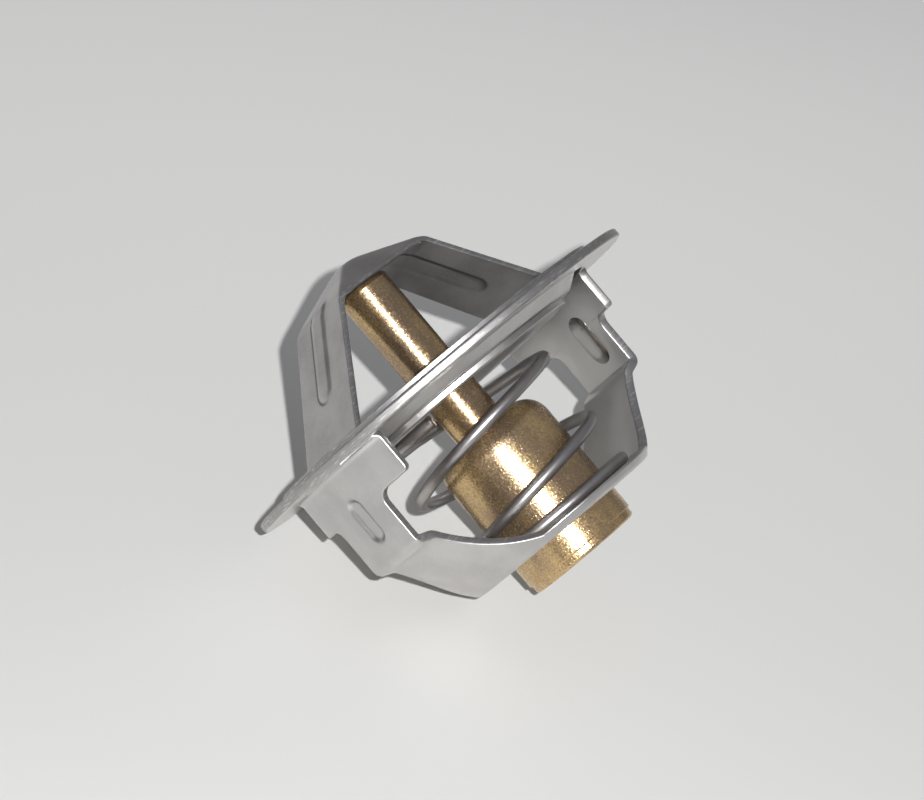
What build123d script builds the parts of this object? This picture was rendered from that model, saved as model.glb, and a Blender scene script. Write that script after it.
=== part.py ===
"""Engine coolant valve with a wax element, 54 mm flange.

The valve axis is Z and the arch lies along X, with the lower legs a few degrees round from
it. z = 0 is the upper face of the flange, the arch stands above it, and the wax element
hangs below. All sizes are in mm.
"""
import math
import os

from build123d import *

# ---- flange and lower frame: one deep-drawn stamping --------------------------------------
flange_radius = 27.0
frame_sheet = 1.1              # sheet thickness of the flange and its legs
flange_edge_round = 0.3
leg_radius = 22.0              # outer face of the upright part of the legs
leg_knee_depth = 13.6          # z of the lower end of the upright part, below the flange
knee_step = 2.2                # how far the legs step in at the knee
knee_drop = 0.65
knee_bend = 0.2                # inside radius at the sharp outer corner of the knee
leg_turn = 4.6                 # degrees from the arch round to the legs, clockwise from above
cup_bottom_depth = 22.9        # underside of the bottom ring
bottom_radius = 12.8           # where the sloping wall meets the bottom ring
bend_radius = 0.9              # inside radius of every bend in this sheet
neck_half_width = 4.3          # joins a leg to the flange
slit_height = 0.12             # gap between the flange and the wings
wing_half_width = 10.1
wing_depth = 6.5
wing_corner = 0.6
leg_half_width = 5.2
leg_root_fillet = 1.4
flare_fullness = 1.12          # radius of the arc that widens the legs, as a share of its drop
spring_seat_lip = 0.1          # height of sheet kept above the bottom ring

# ---- stiffening beads -----------------------------------------------------------------------
leg_bead_half_width = 1.4
leg_bead_height = 0.6
leg_bead_top = 4.7
leg_bead_bottom = 11.4
arch_bead_half_width = 1.7
arch_bead_height = 0.55
arch_bead_low = 5.0            # height of its lower end above the flange
arch_bead_reach = 1.3          # how far it runs past the shoulder on to the roof

# ---- upper arch: one stamping with its base ring ---------------------------------------------
arch_sheet = 0.75
base_ring_overhang = 0.9       # how far the base ring reaches out past the legs of the frame
base_ring_width = 4.0
base_ring_outer = leg_radius + base_ring_overhang
base_ring_inner = base_ring_outer - base_ring_width
arch_foot_inset = 3.0
arch_foot = base_ring_outer - arch_foot_inset    # outer face of its legs at the base ring
arch_foot_half_width = 5.75
arch_shoulder = 8.2
arch_half_width = 5.1
arch_height = 14.2             # upper face of the sheet at the shoulders
arch_bend = 0.9
roof_rise = 3.0                # the pressed roof stands this far above the shoulders
roof_tip_half_width = 1.1
roof_round = 0.9               # rounding of the roof's ridges
relief_radius = 0.4            # notches beside the feet
relief_offset = 5.9

# ---- valve seat, pressed into the flange -------------------------------------------------------
seat_sheet = 0.7
seat_gap = 0.03
seat_rim_width = 0.47
seat_cone_width = 2.0
seat_land_width = 2.8
seat_depth = 2.2
seat_bend = 0.35
seat_outer = leg_radius - frame_sheet - seat_gap
seat_shoulder = seat_outer - seat_rim_width
seat_cone_foot = seat_shoulder - seat_cone_width
seat_port_radius = seat_cone_foot - seat_land_width

# ---- valve disc ---------------------------------------------------------------------------------
disc_overlap = 1.5             # how far the disc reaches past the port
disc_radius = seat_port_radius + disc_overlap
disc_sheet = 0.8
disc_rim_width = 4.2
disc_dish_radius = disc_radius - disc_rim_width
disc_dish_rise = 1.1
disc_collar_rise = 2.2
disc_bend = 0.5

# ---- wax element ---------------------------------------------------------------------------------
guide_radius = 3.3
guide_top = 14.0
guide_top_round = 0.7
guide_flange_radius = 6.5
guide_flange_top = 9.3
guide_flange_thickness = 2.0
piston_radius = 1.9
piston_clearance = 0.04
piston_tip_radius = 0.9
piston_tip_taper = 1.3
case_radius = 7.5
case_wall = 0.8
case_top_depth = 7.9
case_shoulder_round = 3.6
case_bottom_depth = 26.9
case_crimp_width = 0.25        # fine step turned near the lower end
case_crimp_height = 1.1
case_edge_round = 0.4
frame_bore_gap = 0.5           # between the case and the bottom ring
diaphragm_thickness = 0.8
chamber_radius = 4.6           # wide mouth of the fluid chamber
chamber_height = 1.4
plug_length = 2.4
backup_length = 0.6
piston_foot_depth = 3.0        # z of the piston's lower end when the valve is shut

# ---- spring ---------------------------------------------------------------------------------------
wire_radius = 0.75
spring_top_inset = 1.6         # wire centre line, inside the edge of the dish
spring_top_radius = disc_dish_radius - spring_top_inset
spring_bottom_inset = 2.65     # wire centre line, inside the foot of the sloping wall
spring_bottom_radius = bottom_radius - spring_bottom_inset
spring_top_turns = 0.42        # lying against the disc
spring_open_turns = 2.1
spring_bottom_turns = 0.95     # lying on the bottom ring
spring_start = -152.0          # direction of the upper wire end, in degrees
spring_points_per_turn = 16
spring_gap = 0.1               # between the top turn and the disc
spring_ease = 0.35             # how gently the open turns leave the flat ones

RIGHT_LEG, LEFT_LEG = 0.0, 180.0
TOLERANCE = 1e-4               # for finding edges by where they lie
HALF_ROOT = math.sqrt(0.5)


def unit(start, end):
    """Direction from one point to another."""
    length = math.hypot(end[0] - start[0], end[1] - start[1])
    return (end[0] - start[0]) / length, (end[1] - start[1]) / length


def directions(points, index):
    """Directions of a path just before and just after one of its points."""
    last = len(points) - 1
    before = unit(points[max(index - 1, 0)], points[max(index, 1)])
    after = unit(points[min(index, last - 1)], points[min(index + 1, last)])
    return before, after


def offset_path(points, distance):
    """The path moved sideways, to the left of its direction, with mitred corners."""
    moved = []
    for index, point in enumerate(points):
        before, after = directions(points, index)
        scale = distance / (1 + before[0] * after[0] + before[1] * after[1])
        moved.append((point[0] - (before[1] + after[1]) * scale,
                      point[1] + (before[0] + after[0]) * scale))
    return moved


def bent_sheet(points, thickness, inside_radii):
    """Closed section of a sheet whose one face runs through the points.

    The other face lies to the left of that path, or to its right if thickness is negative.
    Each bend between two runs has its own inside radius.
    """
    face_radii = []
    back_radii = []
    for index, inside_radius in enumerate(inside_radii, start=1):
        outside_radius = inside_radius + abs(thickness)
        before, after = directions(points, index)
        turns_left = before[0] * after[1] - before[1] * after[0] > 0
        back_inside = turns_left == (thickness > 0)
        face_radii.append(outside_radius if back_inside else inside_radius)
        back_radii.append(inside_radius if back_inside else outside_radius)
    back = offset_path(points, thickness)
    face_line = FilletPolyline(*points, radius=face_radii)
    back_line = FilletPolyline(*back, radius=back_radii)
    ends = [Line(face_line @ 1, back_line @ 1), Line(back_line @ 0, face_line @ 0)]
    return make_face([face_line, back_line] + ends)


def revolved(section):
    """Solid of revolution about the valve axis from a section in radius and height."""
    return revolve(Plane.XZ * section, Axis.Z)


def tube(inner, outer, low, high):
    """Plain ring or tube about the valve axis."""
    ring = Circle(outer) - Circle(inner) if inner else Circle(outer)
    return extrude(Plane.XY.offset(low) * ring, high - low)


def rounded_chain(points, radius):
    """Round bar with ball ends along straight runs in the XZ plane."""
    bar = None
    for start, end in zip(points, points[1:]):
        run = Vector(end[0] - start[0], 0, end[1] - start[1])
        tip = run.length + radius
        side = Line((radius, 0), (radius, run.length))
        slant = radius * HALF_ROOT
        cap = ThreePointArc((radius, run.length), (slant, run.length + slant), (0, tip))
        foot = ThreePointArc((0, -radius), (slant, -slant), (radius, 0))
        stem = Line((0, tip), (0, -radius))
        section = make_face([side, cap, stem, foot])
        place = Plane(origin=(start[0], 0, start[1]), x_dir=(0, 1, 0), z_dir=run)
        piece = place * revolve(Plane.XZ * section, Axis.Z)
        bar = piece if bar is None else bar + piece
    return bar


def bead_radius(half_width, height):
    """Radius of the round tool that presses a bead of this width and height."""
    return (half_width ** 2 + height ** 2) / (2 * height)


def pressed_bead(line, half_width, height, sheet):
    """Metal added and metal removed by a bead pressed up from the back along a line.

    The line lies on the raised face in the XZ plane, with the sheet on its left.
    """
    radius = bead_radius(half_width, height)
    tool = rounded_chain(offset_path(line, radius - height + sheet), radius)
    skin = rounded_chain(offset_path(line, radius - height), radius)
    reach = None
    for start, end in zip(line, line[1:]):
        along = Vector(end[0] - start[0], 0, end[1] - start[1])
        middle = ((start[0] + end[0]) / 2, 0, (start[1] + end[1]) / 2)
        face = Plane(origin=middle, x_dir=along, z_dir=along.cross(Vector(0, 1, 0)))
        slot = extrude(face * SlotCenterToCenter(along.length, 2 * half_width), radius, both=True)
        reach = slot if reach is None else reach + slot
    return (skin - tool) & reach, tool


def cup_path():
    """Outer face of the drawn cup, from the flange rim to the bore of the bottom ring."""
    knee_radius = leg_radius - knee_step
    return [(flange_radius, -frame_sheet),
            (leg_radius, -frame_sheet),
            (leg_radius, -leg_knee_depth),
            (knee_radius, -leg_knee_depth - knee_drop),
            (bottom_radius, -cup_bottom_depth),
            (case_radius + frame_bore_gap, -cup_bottom_depth)]


def leg_outline():
    """Legs as cut out of the cup, seen along X: neck, wings, narrow part and flare."""
    slit_bottom = -frame_sheet - slit_height
    flare_start = -leg_knee_depth - knee_drop / 2
    below = -cup_bottom_depth - spring_seat_lip
    drop = flare_start - below
    centre = leg_half_width + drop * flare_fullness
    flare_radius = centre - leg_half_width
    points = []
    for share in (0, 0.5, 1):
        depth = drop * share
        points.append((centre - math.sqrt(flare_radius ** 2 - depth ** 2), flare_start - depth))
    line = Polyline((0, frame_sheet), (neck_half_width, frame_sheet),
                    (neck_half_width, slit_bottom), (wing_half_width, slit_bottom),
                    (wing_half_width, -wing_depth), (leg_half_width, -wing_depth), points[0])
    flare = ThreePointArc(*points)
    close = Polyline(points[-1], (0, below), (0, frame_sheet))
    half_face = make_face([line, flare, close])
    root = half_face.vertices().sort_by_distance((leg_half_width, -wing_depth))[0]
    half_face = fillet(root, leg_root_fillet)
    corners = [v for v in half_face.vertices() if abs(v.X - wing_half_width) < TOLERANCE]
    half_face = fillet(corners, wing_corner)
    return half_face + mirror(half_face, Plane.YZ)


def flange_frame():
    """Flange, legs and bottom ring: a cup drawn through, pierced and beaded.

    The half with the right leg is made first, and the other half is its mirror image.
    """
    bends = [bend_radius, knee_bend, bend_radius, bend_radius]
    cup = revolved(bent_sheet(cup_path(), -frame_sheet, bends))
    leg = extrude(Plane.YZ * leg_outline(), flange_radius)
    flange = tube(0, 2 * flange_radius, -frame_sheet, frame_sheet)
    ring_top = -cup_bottom_depth + frame_sheet + spring_seat_lip
    ring = tube(0, flange_radius, -2 * cup_bottom_depth, ring_top)
    inner_face = leg_radius - frame_sheet
    line = [(inner_face, -leg_bead_top - leg_bead_half_width),
            (inner_face, -leg_bead_bottom + leg_bead_half_width)]
    skin, tool = pressed_bead(line, leg_bead_half_width, leg_bead_height, frame_sheet)
    right_side = extrude(Plane.YZ * Circle(2 * flange_radius), flange_radius)
    half = ((cup & (leg + flange + ring)) + skin - tool) & right_side
    body = half + mirror(half, Plane.YZ)
    rim = body.edges().filter_by(GeomType.CIRCLE).filter_by(
        lambda edge: abs(edge.radius - flange_radius) < TOLERANCE)
    return Rot(0, 0, -leg_turn) * fillet(rim, flange_edge_round)


def arch_solid(inset, half_width):
    """Solid under the arch: two sloping legs, a level top and the pressed roof above it.

    The inset moves every face inwards by that much, for the inside of the sheet.
    """
    slope = unit((arch_foot, arch_sheet), (arch_shoulder, arch_height))
    toe = arch_foot - slope[0] / slope[1] * arch_sheet
    below = toe - slope[0] / slope[1] * arch_sheet
    half = [(below, -arch_sheet), (arch_shoulder, arch_height)]
    face = offset_path(half + [(-x, z) for x, z in reversed(half)], inset)
    block = extrude(Plane.XZ * make_face(Polyline(*face, close=True)), half_width, both=True)
    shoulder, top = face[1]
    base = Plane.XY.offset(top) * Rectangle(2 * shoulder, 2 * arch_half_width)
    tip_side = 2 * roof_tip_half_width
    tip = Plane.XY.offset(top + roof_rise) * Rectangle(tip_side, tip_side)
    roof = loft([base, tip], ruled=True)
    ridges = [edge for edge in roof.edges() if edge.center().Z > top + TOLERANCE]
    return block + fillet(ridges, roof_round)


def arch_outline():
    """The strip seen from above: it narrows from its feet to its shoulders."""
    half = [(0, arch_half_width), (arch_shoulder, arch_half_width),
            (arch_foot, arch_foot_half_width), (flange_radius, arch_foot_half_width)]
    outline = make_face(Polyline(*half, *[(x, -y) for x, y in reversed(half)], close=True))
    return outline + mirror(outline, Plane.YZ)


def level_edges(solid, x, z):
    """Edges that lie across the strip at this distance from the axis and this height."""
    return [edge for edge in solid.edges().filter_by(Axis.Y)
            if abs(edge.center().Z - z) < TOLERANCE and abs(abs(edge.center().X) - x) < TOLERANCE]


def upper_arch():
    """Arch over the port, with its base ring, roof for the piston tip and beads."""
    strip = arch_solid(0, arch_foot_half_width) & extrude(arch_outline(), 2 * arch_height)
    strip = strip - arch_solid(arch_sheet, 2 * arch_foot_half_width)
    strip = strip + tube(base_ring_inner, base_ring_outer, 0, arch_sheet)
    strip = fillet(level_edges(strip, arch_foot, arch_sheet), arch_bend)
    slope = unit((arch_foot, arch_sheet), (arch_shoulder, arch_height))
    low = arch_foot + slope[0] * (arch_bead_low - arch_sheet) / slope[1]
    pitch = roof_rise / (arch_shoulder - roof_tip_half_width)
    line = [(low, arch_bead_low), (arch_shoulder, arch_height),
            (arch_shoulder - arch_bead_reach, arch_height + pitch * arch_bead_reach)]
    skin, tool = pressed_bead(line, arch_bead_half_width, arch_bead_height, arch_sheet)
    notch = Cylinder(relief_radius, 4 * arch_sheet)
    for turn in (RIGHT_LEG, LEFT_LEG):
        strip = strip + Rot(0, 0, turn) * skin
        strip = strip - Rot(0, 0, turn) * tool
        for side in (-relief_offset, relief_offset):
            strip = strip - Rot(0, 0, turn) * Pos(arch_foot, side, 0) * notch
    return strip


def valve_seat():
    """Seat ring drawn down through the flange, on which the disc closes."""
    path = [(seat_outer, -seat_sheet),
            (seat_shoulder, -seat_sheet),
            (seat_cone_foot, -seat_depth),
            (seat_port_radius, -seat_depth)]
    return revolved(bent_sheet(path, -seat_sheet, [seat_bend, seat_bend]))


def valve_disc():
    """Dished disc with a collar drawn up round the guide."""
    under = -seat_depth - disc_sheet
    web = under + disc_dish_rise
    path = [(disc_radius, under),
            (disc_dish_radius, under),
            (disc_dish_radius - disc_dish_rise, web),
            (guide_radius, web),
            (guide_radius, web + disc_collar_rise)]
    return revolved(bent_sheet(path, -disc_sheet, [disc_bend, disc_bend, disc_bend]))


def piston_guide():
    """Turned guide: a long bored stem, a flange held by the case and the fluid chamber."""
    flange_top = -guide_flange_top
    flange_under = flange_top - guide_flange_thickness
    stem = tube(0, guide_radius, flange_top, guide_top)
    top_edge = stem.faces().sort_by(Axis.Z)[-1].edges()
    stem = fillet(top_edge, guide_top_round)
    body = stem + tube(0, guide_flange_radius, flange_under, flange_top)
    bore = piston_radius + piston_clearance
    body -= tube(0, bore, flange_under, guide_top)
    mouth = make_face(Polyline((0, flange_under), (chamber_radius, flange_under),
                               (bore, flange_under + chamber_height),
                               (0, flange_under + chamber_height), close=True))
    return body - revolved(mouth)


def element_case():
    """Drawn brass cup, rolled in over the flange of the guide."""
    top = -case_top_depth
    bottom = -case_bottom_depth
    step = bottom + case_crimp_height
    outer = Polyline((guide_radius, top), (case_radius, top), (case_radius, step),
                     (case_radius - case_crimp_width, step),
                     (case_radius - case_crimp_width, bottom), (0, bottom), (0, top),
                     (guide_radius, top))
    body = revolved(make_face(outer))
    rims = body.edges().filter_by(GeomType.CIRCLE)
    shoulder = rims.filter_by(lambda edge: abs(edge.radius - case_radius) < TOLERANCE
                              and abs(edge.center().Z - top) < TOLERANCE)
    body = fillet(shoulder, case_shoulder_round)
    base = body.edges().filter_by(GeomType.CIRCLE).filter_by(
        lambda edge: abs(edge.center().Z - bottom) < TOLERANCE)
    body = fillet(base, case_edge_round)
    body -= tube(0, guide_radius, -guide_flange_top, top)
    inner = case_radius - case_wall
    body -= tube(0, guide_flange_radius, diaphragm_under(), -guide_flange_top)
    return body - tube(0, inner - case_crimp_width, bottom + case_wall, diaphragm_under())


def diaphragm_under():
    """z of the underside of the diaphragm."""
    return -guide_flange_top - guide_flange_thickness - diaphragm_thickness


def diaphragm():
    """Rubber disc clamped between the guide's flange and the wax."""
    return tube(0, guide_flange_radius, diaphragm_under(), diaphragm_under() + diaphragm_thickness)


def wax_charge():
    """Wax pellet that fills the case below the diaphragm."""
    inner = case_radius - case_wall - case_crimp_width
    return tube(0, inner, -case_bottom_depth + case_wall, diaphragm_under())


def piston_top():
    """z of the piston's upper end, under the tip of the roof."""
    return arch_height + roof_rise - arch_sheet


def piston():
    """Steel piston that stands in the tip of the roof and runs in the guide."""
    rod = tube(0, piston_radius, -piston_foot_depth, piston_top())
    tip = rod.faces().sort_by(Axis.Z)[-1].edges()
    return chamfer(tip, piston_tip_taper, piston_radius - piston_tip_radius)


def backup_disc():
    """Hard disc between the piston and the plug."""
    return tube(0, piston_radius, -piston_foot_depth - backup_length, -piston_foot_depth)


def rubber_plug():
    """Rubber plug that seals the bore."""
    top = -piston_foot_depth - backup_length
    return tube(0, piston_radius, top - plug_length, top)


def sealing_fluid():
    """Soft filling between the diaphragm and the plug."""
    top = -piston_foot_depth - backup_length - plug_length
    flange_under = -guide_flange_top - guide_flange_thickness
    bore = piston_radius + piston_clearance
    return revolved(make_face(Polyline((0, flange_under), (chamber_radius, flange_under),
                                       (bore, flange_under + chamber_height), (bore, top),
                                       (0, top), close=True)))


def spring_point(turns):
    """Point of the wire's centre line after this many turns from its upper end."""
    high = -seat_depth - disc_sheet - spring_gap - wire_radius
    low = -cup_bottom_depth + frame_sheet + wire_radius
    total = spring_top_turns + spring_open_turns + spring_bottom_turns
    share = min(max((turns - spring_top_turns) / spring_open_turns, 0), 1)
    eased = share - math.sin(2 * math.pi * share) / (2 * math.pi) * spring_ease
    radius = spring_top_radius + (spring_bottom_radius - spring_top_radius) * turns / total
    angle = math.radians(spring_start - 360 * turns)
    return radius * math.cos(angle), radius * math.sin(angle), high + (low - high) * eased


def main_spring():
    """Conical compression spring with closed ends."""
    total = spring_top_turns + spring_open_turns + spring_bottom_turns
    count = round(total * spring_points_per_turn)
    points = [spring_point(total * index / count) for index in range(count + 1)]
    wire = Spline(*points)
    start = Plane(origin=wire @ 0, z_dir=wire % 0)
    return sweep(start * Circle(wire_radius), path=wire, is_frenet=True)


def main():
    """Write every piece."""
    pieces = {
        "flange_frame": flange_frame(),
        "upper_arch": upper_arch(),
        "valve_seat": valve_seat(),
        "piston": piston(),
        "backup_disc": backup_disc(),
        "rubber_plug": rubber_plug(),
        "valve_disc": valve_disc(),
        "piston_guide": piston_guide(),
        "element_case": element_case(),
        "diaphragm": diaphragm(),
        "wax_charge": wax_charge(),
        "sealing_fluid": sealing_fluid(),
        "main_spring": main_spring(),
    }
    os.makedirs("parts", exist_ok=True)
    for name, piece in pieces.items():
        export_step(piece, f"parts/{name}.step")


main()
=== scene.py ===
"""Looks of an engine coolant valve with a wax element, built round its solid model.

The valve axis is Z, the arch lies along X with the lower legs a few degrees round from it, and
z = 0 is the upper face of the flange. Every piece that is rebuilt here is a surface worked out
from the sizes in the property groups below; the piston and the pieces inside the element keep
the solid model's meshes and only get finishes.
"""
import math

import bmesh
import bpy
import numpy as np
from bpy.props import FloatProperty, FloatVectorProperty, IntProperty, PointerProperty
from mathutils import Matrix, Vector


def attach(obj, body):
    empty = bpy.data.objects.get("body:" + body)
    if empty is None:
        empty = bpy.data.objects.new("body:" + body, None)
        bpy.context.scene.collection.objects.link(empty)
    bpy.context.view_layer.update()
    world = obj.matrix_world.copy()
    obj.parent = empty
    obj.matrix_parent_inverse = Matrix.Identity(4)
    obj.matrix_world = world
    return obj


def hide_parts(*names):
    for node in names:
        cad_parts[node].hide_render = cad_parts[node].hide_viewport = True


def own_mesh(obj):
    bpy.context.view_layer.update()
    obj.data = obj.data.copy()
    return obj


bl_info = {
    "name": "Engine Coolant Valve",
    "version": (1, 0, 0),
    "blender": (4, 5, 0),
    "location": "View3D > Sidebar > Valve",
    "description": "Builds the stamped frame, spring and brass element of an engine coolant valve",
    "category": "Add Mesh",
}

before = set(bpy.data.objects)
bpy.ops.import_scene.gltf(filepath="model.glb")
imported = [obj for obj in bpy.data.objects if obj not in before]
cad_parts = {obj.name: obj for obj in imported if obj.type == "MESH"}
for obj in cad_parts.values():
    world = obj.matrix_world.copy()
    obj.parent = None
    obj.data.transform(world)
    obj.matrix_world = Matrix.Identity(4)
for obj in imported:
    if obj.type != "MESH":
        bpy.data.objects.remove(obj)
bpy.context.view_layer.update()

MM = 0.001
TINY = 0.02 * MM          # keeps hidden faces of one piece from lying in each other
STEP = 0.004 * MM         # distance over which a surface's slope is measured
ROW_GAP = 1e-5 * MM       # keeps rows of a sheet that would fall together apart
LEG_ROW, LEG_COLUMNS = 0.2 * MM, 84      # spacing along a leg, and points across it
ARCH_ROW, ARCH_COLUMNS = 0.16 * MM, 74
WIRE_ROWS, WIRE_SIDES = 460, 22
WELD = 0.0005 * MM        # points closer than this become one
QUARTER = np.linspace(0, math.pi / 2, 7)        # angles of a corner in a leg's outline
RIGHT, LEFT = 0.0, math.pi                      # directions of the two legs round the axis
FOOT_NORMAL, ROOF_NORMAL = (0.755, 0.655), (0.4, 0.92)    # outwards and up, off the arch's sheet
# The last mark is a share of painted shade along the beads.
MARKS = ("cut_edge", "inner_face", "crease_shade")    # shares from 0 to 1 on every point, for finishes


# ---- sizes and finishes that a user may change ----------------------------------------------

def length(label, millimetres, words):
    """A size in the user's length unit, from its value in millimetres."""
    return FloatProperty(name=label, description=words, default=millimetres * MM, unit="LENGTH",
                         precision=4)


def colour(label, value, words):
    """A surface colour, as linear red, green and blue."""
    return FloatVectorProperty(name=label, description=words, default=value, size=3,
                               subtype="COLOR", min=0, max=1)


def share(label, value, words):
    """A plain number from 0 to 1."""
    return FloatProperty(name=label, description=words, default=value, min=0, max=1,
                         subtype="FACTOR")


def degrees(label, value, words):
    """An angle in the user's unit, from its value in degrees."""
    return FloatProperty(name=label, description=words, default=math.radians(value),
                         subtype="ANGLE")


def number(label, value, words, unit="NONE"):
    """A number in a unit of its own, or a plain one."""
    return FloatProperty(name=label, description=words, default=value, unit=unit)


class FrameSizes(bpy.types.PropertyGroup):
    """Sizes of the drawn flange and legs."""
    sheet: length("Sheet", 1.1, "Thickness of the flange and legs")
    flange_radius: length("Flange Radius", 27.0, "Radius of the flange")
    leg_radius: length("Leg Radius", 22.0, "Outer face of the upright part of the legs")
    knee_depth: length("Knee Depth", 13.6, "Where the legs step in, below the flange")
    knee_step: length("Knee Step", 2.2, "How far the legs step in")
    knee_drop: length("Knee Drop", 0.65, "Height of the step")
    knee_bend: length("Knee Bend", 0.2, "Inside radius at the outer corner of the knee")
    bottom_depth: length("Bottom Depth", 22.9, "Underside of the bottom ring")
    bottom_radius: length("Bottom Radius", 12.8, "Where the sloping wall meets the bottom ring")
    bore_radius: length("Bore Radius", 8.0, "Bore of the bottom ring")
    bend: length("Bend", 0.9, "Inside radius of the bends")
    turn: degrees("Turn", -4.6, "Turn of the legs against the arch")
    neck_half_width: length("Neck", 4.3, "Half width of the neck that joins a leg to the flange")
    slit: length("Slit", 0.12, "Gap between the wings and the flange")
    wing_half_width: length("Wings", 10.1, "Half width across the wings")
    wing_depth: length("Wing Depth", 6.5, "Lower edge of the wings")
    wing_corner: length("Wing Corner", 0.6, "Corner radius of the wings")
    leg_half_width: length("Leg", 5.2, "Half width of the narrow part of a leg")
    root_fillet: length("Root Fillet", 1.4, "Radius between a wing and its leg")
    flare: number("Flare", 1.12, "Radius of the leg's flare, as a multiple of its height")
    edge_round: length("Edge Round", 0.2, "Rounding of the cut edges")
    rim_round: length("Rim Round", 0.3, "Rounding of the flange's rim")
    bead_half_width: length("Bead", 1.4, "Half width of the pressed beads")
    bead_height: length("Bead Height", 0.46, "How far the beads are pressed in")
    bead_top: length("Bead Top", 4.7, "Upper end of the beads, below the flange")
    bead_bottom: length("Bead Bottom", 11.0, "Lower end of the beads, below the flange")
    bead_shift: length("Bead Shift", 0.9, "How far the beads lie from the middle of the legs")


class ArchSizes(bpy.types.PropertyGroup):
    """Sizes of the arch above the port."""
    sheet: length("Sheet", 0.75, "Thickness of the arch and its ring")
    ring_outer: length("Ring Outer", 22.9, "Outer radius of the base ring")
    ring_inner: length("Ring Inner", 18.9, "Inner radius of the base ring")
    ring_lap: length("Ring Lap", 0.9, "How far inside the ring's edge the strip ends")
    ring_round: length("Ring Round", 0.09, "Rounding of the base ring's edges")
    foot: length("Foot", 19.9, "Where the legs of the arch leave the ring")
    foot_half_width: length("Foot Half Width", 5.75, "Half width at the feet")
    shoulder: length("Shoulder", 8.2, "Where the legs meet the roof")
    half_width: length("Half Width", 5.1, "Half width of the roof")
    height: length("Height", 14.2, "Height of the shoulders")
    bend: length("Bend", 0.9, "Radius of the bends at the feet")
    shoulder_bend: length("Shoulder Bend", 2.2, "Radius of the bends at the shoulders")
    roof_rise: length("Roof Rise", 3.0, "Height of the pressed roof")
    roof_tip: length("Roof Tip", 1.1, "Half width of the roof's tip")
    roof_soft: share("Ridge Softness", 0.07, "Rounding of the roof's ridges")
    edge_round: length("Edge Round", 0.16, "Rounding of the cut edges")
    bead_half_width: length("Bead", 1.7, "Half width of the raised beads")
    bead_height: length("Bead Height", 0.2, "Height of the raised beads")
    bead_low: length("Bead Low", 5.0, "Lower end of the beads")
    bead_reach: length("Bead Reach", 1.3, "How far the beads run on to the roof")


class ValveSizes(bpy.types.PropertyGroup):
    """Sizes of the seat, the disc and the brass element."""
    seat_sheet: length("Seat Sheet", 0.7, "Thickness of the seat ring")
    seat_outer: length("Seat Outer", 20.87, "Outer radius of the seat ring")
    seat_shoulder: length("Seat Shoulder", 20.4, "Where the seat's cone begins")
    seat_cone_foot: length("Seat Cone Foot", 18.4, "Where the seat's cone ends")
    seat_depth: length("Seat Depth", 2.2, "Face on which the disc closes")
    seat_port: length("Port", 15.6, "Radius of the port")
    disc_radius: length("Disc Radius", 17.1, "Radius of the disc")
    disc_sheet: length("Disc Sheet", 0.8, "Thickness of the disc")
    disc_dish: length("Dish", 12.9, "Radius of the disc's dish")
    disc_rise: length("Dish Rise", 1.1, "Height of the dish")
    collar_rise: length("Collar Rise", 2.2, "Height of the collar round the guide")
    guide_radius: length("Guide Radius", 3.3, "Radius of the brass guide")
    guide_bore: length("Guide Bore", 1.94, "Bore of the guide")
    guide_top: length("Guide Top", 14.0, "Upper end of the guide")
    guide_round: length("Guide Round", 0.7, "Rounding of the guide's upper end")
    case_radius: length("Case Radius", 7.5, "Radius of the brass case")
    case_top: length("Case Top", 7.9, "Upper end of the case, below the flange")
    case_bottom: length("Case Bottom", 26.9, "Lower end of the case, below the flange")
    case_shoulder: length("Case Shoulder", 3.2, "Rounding of the case's shoulder")
    case_step: length("Case Step", 0.25, "Depth of the turned step near the lower end")
    case_step_height: length("Case Step Height", 1.1, "Height of the turned step")
    case_round: length("Case Round", 0.4, "Rounding of the case's lower edge")


class SpringSizes(bpy.types.PropertyGroup):
    """Sizes of the conical spring."""
    wire: length("Wire Radius", 0.75, "Radius of the wire")
    top_radius: length("Top Radius", 11.3, "Radius of the coil at the disc")
    bottom_radius: length("Bottom Radius", 10.15, "Radius of the coil at the bottom ring")
    top: length("Top", 3.85, "Depth of the wire's centre at the disc")
    bottom: length("Bottom", 21.05, "Depth of the wire's centre at the bottom ring")
    travel: length("Travel", 8.0, "How far the open valve presses the spring together")
    start: degrees("Start", -152, "Direction of the upper wire end")
    top_turns: number("Top Turns", 0.34, "Turns that lie against the disc")
    open_turns: number("Open Turns", 2.18, "Turns that rise freely")
    bottom_turns: number("Bottom Turns", 0.95, "Turns that lie on the bottom ring")
    ease: share("Ease", 0.22, "How gently the open turns leave the flat ones")


class Finishes(bpy.types.PropertyGroup):
    """Colours of the finishes."""
    steel: colour("Steel", (0.63, 0.62, 0.61), "Drawn stainless sheet")
    steel_stain: colour("Steel Stain", (0.54, 0.525, 0.52), "Darker patches of the sheet")
    roof_stain: colour("Arch Stain", (0.41, 0.395, 0.40), "Darker patches of the arch")
    wire: colour("Wire", (0.49, 0.465, 0.45), "Spring wire")
    brass: colour("Brass", (0.66, 0.465, 0.225), "Turned brass")
    brass_tarnish: colour("Tarnish", (0.37, 0.26, 0.165), "Tarnished patches of the brass")
    rubber: colour("Rubber", (0.035, 0.035, 0.035), "Plug and diaphragm")
    wax: colour("Wax", (0.45, 0.24, 0.13), "Wax charge")
    plastic: colour("Plastic", (0.70, 0.68, 0.60), "Backing disc")
    fluid: colour("Filling", (0.60, 0.54, 0.35), "Soft filling under the plug")
    table: colour("Table", (0.715, 0.715, 0.70), "Table under the valve")
    # The table's paler end is painted light.
    table_lit_end: colour("Pale Table", (0.95, 0.95, 0.925), "Table at its far, paler end")


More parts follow.
